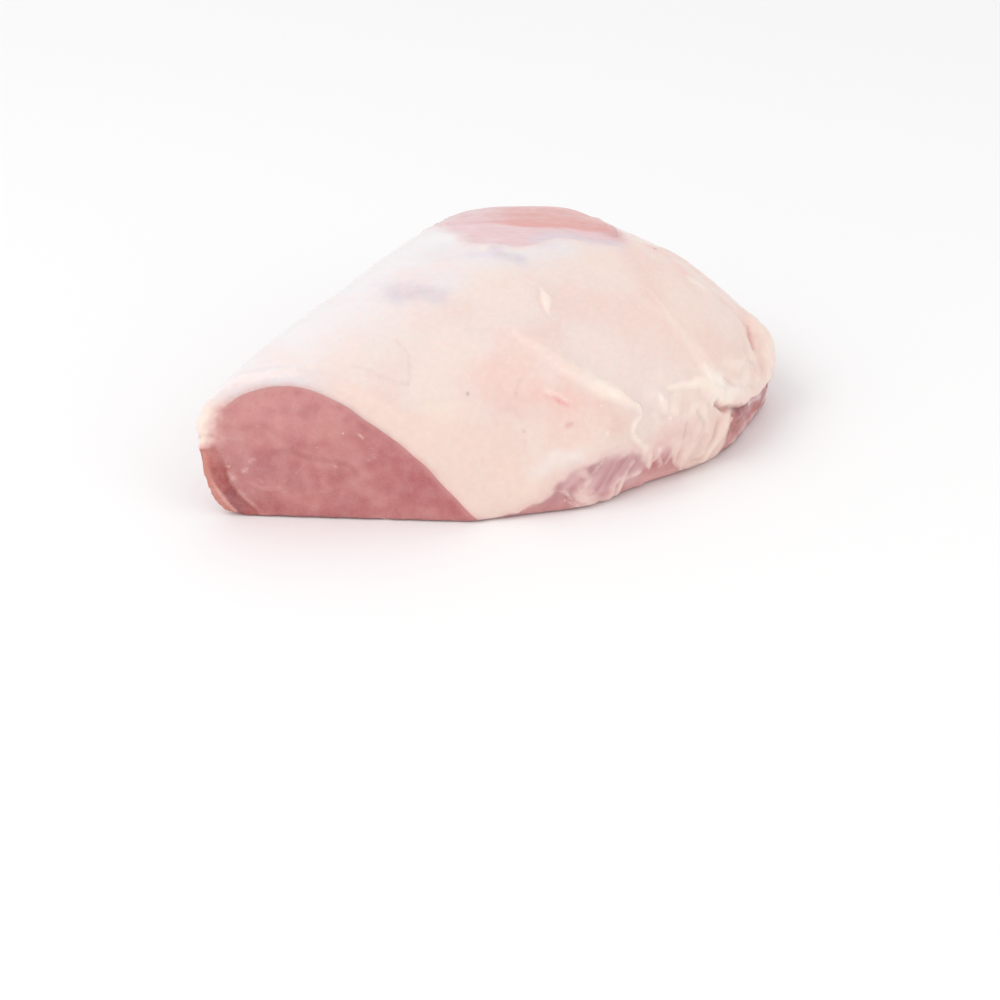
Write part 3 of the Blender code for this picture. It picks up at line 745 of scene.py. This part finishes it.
def paint_cut_lean(colours, at, patch, mottle):
    """The cut and the far end's face pale upwards, with soft mottles, and the cut pales towards its fat."""
    warped = stirred(at.places, 9, 2.5, seed=24)
    faces = np.maximum(at.cut, at.far)
    paint(colours, (188, 110, 109), faces)
    paint(colours, (198, 124, 122), faces * smooth(14, 30, at.z + 5 * patch))
    paint(colours, (207, 136, 135), faces * smooth(30, 50, at.z + 5 * patch))
    paint(colours, (176, 92, 96), faces * smooth(0.0, 0.5, mottle) * 0.5)
    paint(colours, (212, 148, 142), faces * smooth(0.0, -0.5, mottle) * 0.45)
    for path, half_width, colour, share in CUT_PATCHES:
        stir = warped if half_width > 3 else at.places
        daub(colours, stir, at.cut, path, half_width, colour, share)
    paint(colours, (212, 150, 146), at.cut * smooth(3.0, 0.3, at.depth) * 0.5)


def paint_side_muscle(colours, at):
    """The small side muscle is darker, with painted shade at its foot and a paler strip outside its own seam.
    """
    paint(colours, (162, 64, 58), at.side_muscle)
    paint(colours, (200, 122, 114), at.side_muscle * smooth(19, 29, at.z) * 0.8)
    # Painted shade at its foot.
    daub(colours, at.places, at.side_muscle, *SIDE_MUSCLE_SHADE)
    outside = smooth(-1.0, 0.6, at.y - seam_line(SIDE_SEAM, at.z))
    paint(colours, (200, 120, 106), at.side_muscle * outside)
    daub(colours, at.places, at.side_muscle, SIDE_SEAM, 1.2, (228, 172, 160), 0.9)


def store(mesh, name, kind, values):
    """Keep a value for each point as a named attribute, for the material."""
    layer = mesh.attributes.new(name, kind, "POINT")
    field = {"FLOAT": "value", "FLOAT_COLOR": "color", "FLOAT_VECTOR": "vector"}[kind]
    layer.data.foreach_set(field, np.asarray(values, np.float32).ravel())


def rim_share(places, normals, edges):
    """1 on the upper rim of the cut and at the far end's chine corner, which soft meat rounds the most."""
    blurred = smoothed(cut_share(places, normals)[:, None], edges, RIM_BLUR_PASSES)[:, 0]
    upper_rim = 4 * blurred * (1 - blurred) * smooth(26, 36, places[:, 2])
    far_corner = smooth(62, 84, places[:, 0]) * smooth(14, 34, places[:, 1])
    return np.maximum(upper_rim, far_corner)


def store_fields(mesh, at):
    """What the material draws on."""
    store(mesh, "depth", "FLOAT", at.depth)
    store(mesh, "cut", "FLOAT", at.cut)
    store(mesh, "soft", "FLOAT", at.soft)
    store(mesh, "seam", "FLOAT", near(at.places, SEAM, SEAM_REACH) * at.cut * (1 - at.side_muscle))
    for name, colours in (("fat", fat_colours(at)), ("lean", lean_colours(at))):
        store(mesh, name, "FLOAT_COLOR", np.column_stack([colours, np.ones(len(colours))]))
    # Across the cut, fibres are seen end on, so their noise isn't drawn out there.
    store(mesh, "fibre", "FLOAT_VECTOR", at.places - DRAWN_OUT * at.along * (1 - at.cut[:, None]))


def make_meat():
    """The loin's visible piece, with its relief, and its fields stored for the material."""
    piece = fine_mesh(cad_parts["pork_loin"])
    mesh = piece.data
    edges = edges_of(mesh)
    places = smoothed(places_of(mesh), edges, SMOOTHING_PASSES)
    put_places(mesh, places)
    places = smoothed(places, edges, RIM_PASSES, 0.5 * rim_share(places, normals_of(mesh), edges))
    put_places(mesh, places)
    at = Fields(places, normals_of(mesh))
    places = places + at.normals * relief(at)[:, None]
    places[:, 2] = np.maximum(places[:, 2], 0)
    put_places(mesh, fitted(places, np.array(cad_low) / MM, np.array(cad_high) / MM))
    store_fields(mesh, at)
    mesh.shade_smooth()
    print("meat triangles:", 2 * len(mesh.polygons))
    return piece


# ------------------------------------------------------------------ the material


class Shade:
    """A material's node tree, with one short call for each kind of node."""

    def __init__(self, name):
        self.material = bpy.data.materials.new(name)
        self.material.use_nodes = True
        self.tree = self.material.node_tree
        self.surface = self.tree.nodes["Principled BSDF"]

    def fill(self, node, inputs):
        """Set a node's inputs, each to a value or to another node's output."""
        for socket, value in inputs.items():
            if isinstance(value, bpy.types.NodeSocket):
                self.tree.links.new(value, node.inputs[socket])
            else:
                node.inputs[socket].default_value = value

    def node(self, kind, inputs, **settings):
        made = self.tree.nodes.new("ShaderNode" + kind)
        for setting, value in settings.items():
            setattr(made, setting, value)
        self.fill(made, inputs)
        return made

    def field(self, name, output="Fac"):
        return self.node("Attribute", {}, attribute_name=name).outputs[output]

    def math(self, operation, first, second=0.0, third=0.0):
        return self.node("Math", {0: first, 1: second, 2: third}, operation=operation).outputs[0]

    def step(self, value, low, high, to_low=0.0, to_high=1.0):
        """to_low below low, to_high above high, and a smooth rise or fall between them."""
        inputs = {"Value": value, "From Min": low, "From Max": high, "To Min": to_low, "To Max": to_high}
        return self.node("MapRange", inputs, interpolation_type="SMOOTHSTEP").outputs["Result"]

    def noise(self, place, size, detail=2.0):
        """Noise about 0.5, with features of a size in mm."""
        return self.node("TexNoise", {"Vector": place, "Scale": 1 / size, "Detail": detail}).outputs["Fac"]

    def blend(self, share, first, second, kind="RGBA"):
        """A mix of two colours, or of two numbers where kind is FLOAT."""
        made = self.node("Mix", {}, data_type=kind)
        wanted = "RGBA" if kind == "RGBA" else "VALUE"
        pair = [i for i, socket in enumerate(made.inputs) if socket.type == wanted and socket.name in "AB"]
        self.fill(made, {0: share, pair[0]: first, pair[1]: second})
        return next(socket for socket in made.outputs if socket.type == wanted)

    def tint(self, colours, mask, share, colour):
        """The colours, moved towards one colour (0 to 255) by a share of a mask."""
        return self.blend(self.math("MULTIPLY", mask, share), colours, (*rgb(*colour), 1))


def fat_looks(shade, place):
    """The colour of the fat, with faint veils and mottles, and its fine relief in mm."""
    veil = shade.step(shade.noise(place, 16, 3), 0.42, 0.68)
    fat = shade.tint(shade.field("fat", "Color"), veil, 0.2, (243, 211, 203))
    mottle = shade.step(shade.noise(place, 2.6, 3), 0.35, 0.75)
    fat = shade.tint(fat, mottle, 0.16, (252, 236, 226))
    swells = shade.math("MULTIPLY", shade.noise(place, 6, 3), 0.4)
    return fat, shade.math("MULTIPLY_ADD", shade.noise(place, 1.1, 2), 0.09, swells)


def lean_looks(shade, place):
    """The colour of the lean, with its fibres, flecks and veins, and its fine relief in mm."""
    fibre = shade.field("fibre", "Vector")
    seam = shade.field("seam")

    # Bundles of fibres, with fine pale tissue between them.
    tone = shade.step(shade.noise(fibre, 5, 4), 0.3, 0.72)
    lean = shade.tint(shade.field("lean", "Color"), tone, 0.2, (226, 176, 172))
    deep = shade.step(shade.noise(fibre, 2.2, 3), 0.5, 0.75)
    lean = shade.tint(lean, deep, 0.2, (184, 104, 104))
    web = shade.node("TexVoronoi", {"Vector": fibre, "Scale": 1 / 1.7}, feature="DISTANCE_TO_EDGE")
    web = shade.step(web.outputs["Distance"], 0.1, 0.0)
    lean = shade.tint(lean, web, 0.08, (232, 188, 184))

    # Tiny flecks of fat, in the cells whose chance is past a limit that falls along the seam.
    cells = shade.node("TexVoronoi", {"Vector": place, "Scale": 1 / 2.6})
    chance = shade.node("SeparateColor", {"Color": cells.outputs["Color"]}).outputs[0]
    limit = shade.step(seam, 0.1, 0.9, 0.98, 0.6)
    dot = shade.step(cells.outputs["Distance"], 0.24, 0.1)
    fleck = shade.math("MULTIPLY", dot, shade.math("GREATER_THAN", chance, limit))
    lean = shade.tint(lean, fleck, 0.7, (240, 208, 202))

    # Pale veins where a broad noise crosses its middle, and a haze, both most along the seam.
    veins = shade.math("ABSOLUTE", shade.math("SUBTRACT", shade.noise(place, 13, 3), 0.5))
    broken = shade.step(shade.noise(place, 8), 0.5, 0.7)
    veins = shade.math("MULTIPLY", shade.step(veins, 0.014, 0.0), broken)
    lean = shade.tint(lean, veins, shade.step(seam, 0.0, 0.6, 0.15, 0.5), (236, 196, 190))
    haze = shade.step(shade.noise(place, 3, 3), 0.4, 0.65)
    haze = shade.math("MULTIPLY", shade.step(seam, 0.35, 1.0), haze)
    lean = shade.tint(lean, haze, 0.3, (224, 174, 168))

    fibres = shade.math("MULTIPLY", shade.noise(fibre, 1.3, 3), 0.22)
    height = shade.math("MULTIPLY_ADD", web, -0.06, fibres)
    return lean, shade.math("SUBTRACT", height, 0.03)


def pork_material():
    """Fat and lean in one finish: a ragged or clean edge between them, moist gloss, fine grain and fibre."""
    shade = Shade("pork")
    where = shade.node("TexCoord", {}).outputs["Object"]
    place = shade.node("VectorMath", {0: where, 1: (1 / MM,) * 3}, operation="MULTIPLY").outputs[0]
    depth, cut, soft = (shade.field(name) for name in ("depth", "cut", "soft"))

    # The edge between fat and lean wanders and fades where it is torn, and is sharp where it is cut.
    torn = shade.step(cut, 0.3, 0.9, 4.5, 0.5)
    wander = shade.math("SUBTRACT", shade.noise(place, 4.0, 5), 0.5)
    edge = shade.math("MULTIPLY_ADD", wander, torn, depth)
    in_lean = shade.step(shade.math("DIVIDE", edge, soft), -1.0, 1.0)

    fat, fat_height = fat_looks(shade, place)
    lean, lean_height = lean_looks(shade, place)
    height = shade.blend(in_lean, fat_height, lean_height, "FLOAT")
    bump = shade.node("Bump", {"Height": height, "Distance": MM, "Strength": 0.9})

    shade.fill(
        shade.surface,
        {
            "Base Color": shade.blend(in_lean, fat, lean),
            "Roughness": shade.step(shade.noise(place, 5, 2), 0.35, 0.7, 0.5, 0.3),
            "Normal": bump.outputs["Normal"],
            "Subsurface Weight": 0.2,
            "Subsurface Radius": (1.0, 0.5, 0.35),
            "Subsurface Scale": 2.2 * MM,
            "Specular IOR Level": 0.5,
            "Coat Weight": 0.35,
            "Coat Roughness": 0.14,
        },
    )
    return shade.material


# ------------------------------------------------------------------ the studio


# In metres, watts and degrees. LEFT and FRONT are as the camera sees the loin, whose place is 0, 0, 0.
LEFT = np.array((-0.63, 0.78, 0))
FRONT = np.array((-0.78, -0.63, 0))
UP = np.array((0, 0, 1))
# Each square lamp's direction from the loin, distance, size and power.
LAMPS = {
    "key": (0.55 * LEFT + 0.35 * FRONT + 0.85 * UP, 1.6, 0.9, 6.0),
    "fill": (-0.8 * LEFT + 0.7 * FRONT + 0.6 * UP, 1.8, 1.2, 2.7),
}
SKY_STRENGTH = 0.86
FLOOR_HALF = 8
FLOOR_DROP = 0.1 * MM
CAMERA_PLACE = (-0.830, -0.6655, 0.550)
CAMERA_TILT = 61.7
CAMERA_TURN = -51
# In millimetres, as Blender counts them.
CAMERA_LENS = 108
CAMERA_SENSOR = 36


def make_floor():
    """A wide, pale, plain floor just under the loin."""
    half = FLOOR_HALF
    mesh = bpy.data.meshes.new("floor")
    corners = [(-half, -half, 0), (half, -half, 0), (half, half, 0), (-half, half, 0)]
    mesh.from_pydata(corners, [], [(0, 1, 2, 3)])
    shade = Shade("pale_floor")
    inputs = {"Base Color": (0.95, 0.95, 0.95, 1), "Roughness": 0.7, "Specular IOR Level": 0.2}
    shade.fill(shade.surface, inputs)
    mesh.materials.append(shade.material)
    floor = bpy.data.objects.new("floor", mesh)
    floor.location.z = -FLOOR_DROP
    bpy.context.scene.collection.objects.link(floor)
    return floor


def soft_light(name, towards, distance, size, power):
    """A square lamp in a direction from the loin, facing it."""
    data = bpy.data.lights.new(name, "AREA")
    data.size = size
    data.energy = power
    lamp = bpy.data.objects.new(name, data)
    lamp.location = Vector(towards).normalized() * distance
    lamp.rotation_euler = lamp.location.to_track_quat("Z", "Y").to_euler()
    bpy.context.scene.collection.objects.link(lamp)


def set_the_light():
    """A white sky, and the lamps."""
    scene = bpy.context.scene
    scene.view_settings.view_transform = "Standard"
    scene.world = bpy.data.worlds.new("studio")
    scene.world.use_nodes = True
    sky = scene.world.node_tree.nodes["Background"]
    sky.inputs["Color"].default_value = (1, 1, 1, 1)
    sky.inputs["Strength"].default_value = SKY_STRENGTH
    for name, lamp in LAMPS.items():
        soft_light(name, *lamp)


def make_camera():
    """A camera at the photo's angle."""
    data = bpy.data.cameras.new("camera")
    data.lens = CAMERA_LENS
    data.sensor_width = CAMERA_SENSOR
    camera = bpy.data.objects.new("camera", data)
    camera.location = CAMERA_PLACE
    camera.rotation_euler = (math.radians(CAMERA_TILT), 0, math.radians(CAMERA_TURN))
    bpy.context.scene.collection.objects.link(camera)
    bpy.context.scene.camera = camera


make_camera()
set_the_light()
make_floor()
meat = make_meat()
meat.data.materials.append(pork_material())
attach(meat, "root")
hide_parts("pork_loin")
